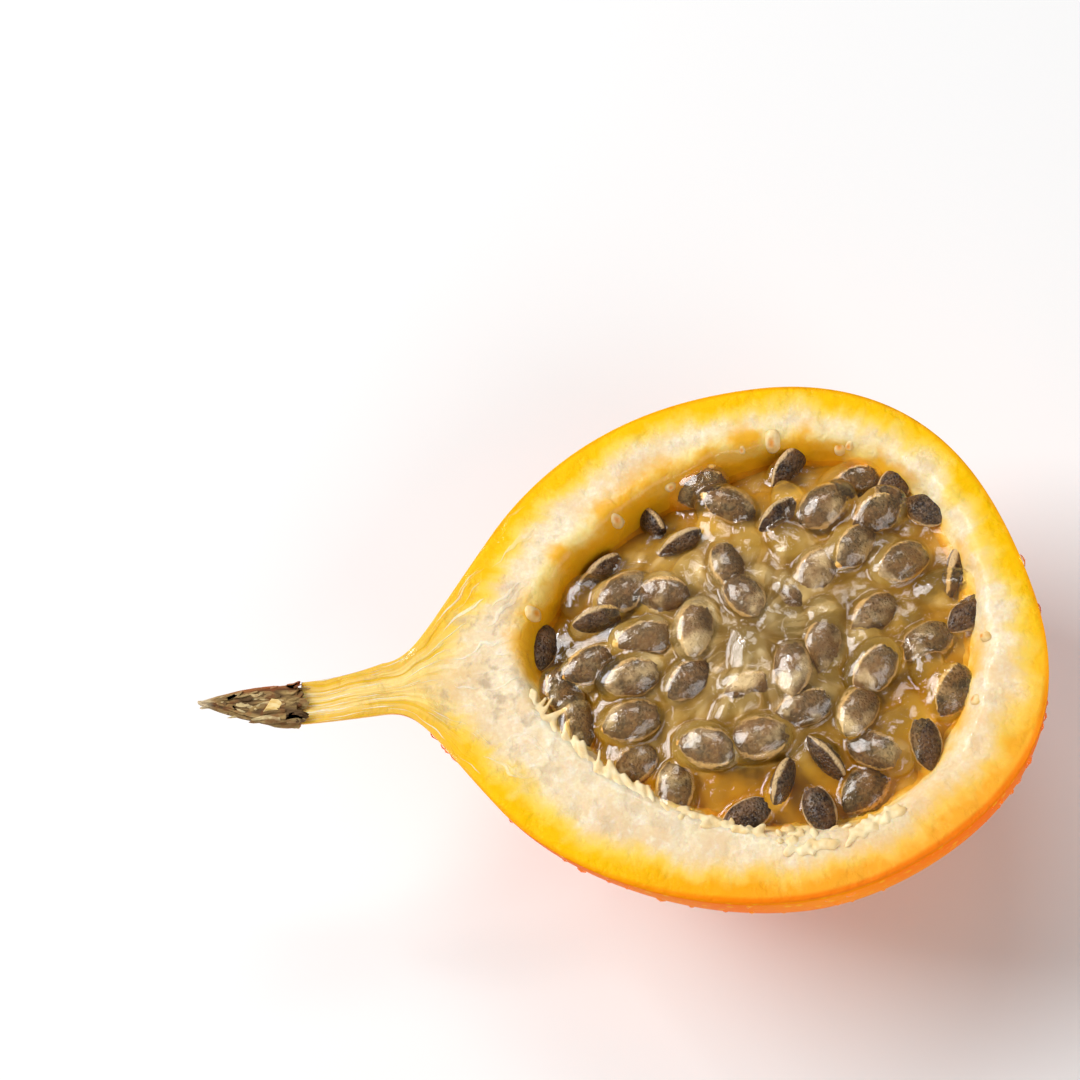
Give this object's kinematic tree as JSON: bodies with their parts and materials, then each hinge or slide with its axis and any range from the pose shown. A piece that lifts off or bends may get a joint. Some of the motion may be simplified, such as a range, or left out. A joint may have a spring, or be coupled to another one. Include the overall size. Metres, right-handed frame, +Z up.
{
  "type": "passion fruit half",
  "caption": "Half of a sweet granadilla cut lengthways: thick pale wall with orange peel, a cavity full of seeds in juicy jelly, and a short stem with a dried end.",
  "frame": {"origin": "the middle of the small flat spot on the skin that the half rests on", "axes": "+X along the fruit from the stem to the blossom end, +Z up, square to the level cut face"},
  "size_m": [0.1039, 0.0661, 0.0343],
  "materials": {
    "pith": "moist cream pith on the cut face, with a rough orange peel on the outside",
    "peel": "glossy orange skin with fine pale dots",
    "pulp": "wet translucent amber jelly",
    "seed": "dark brown pitted seed",
    "stem": "pale yellow fibrous stalk",
    "dry_stem": "dry brown flaky end"
  },
  "bodies": {
    "root": {"shell": "pith", "pulp": "pulp", "stem": "stem", "stem_tip": "dry_stem"}
  },
  "joints": []
}
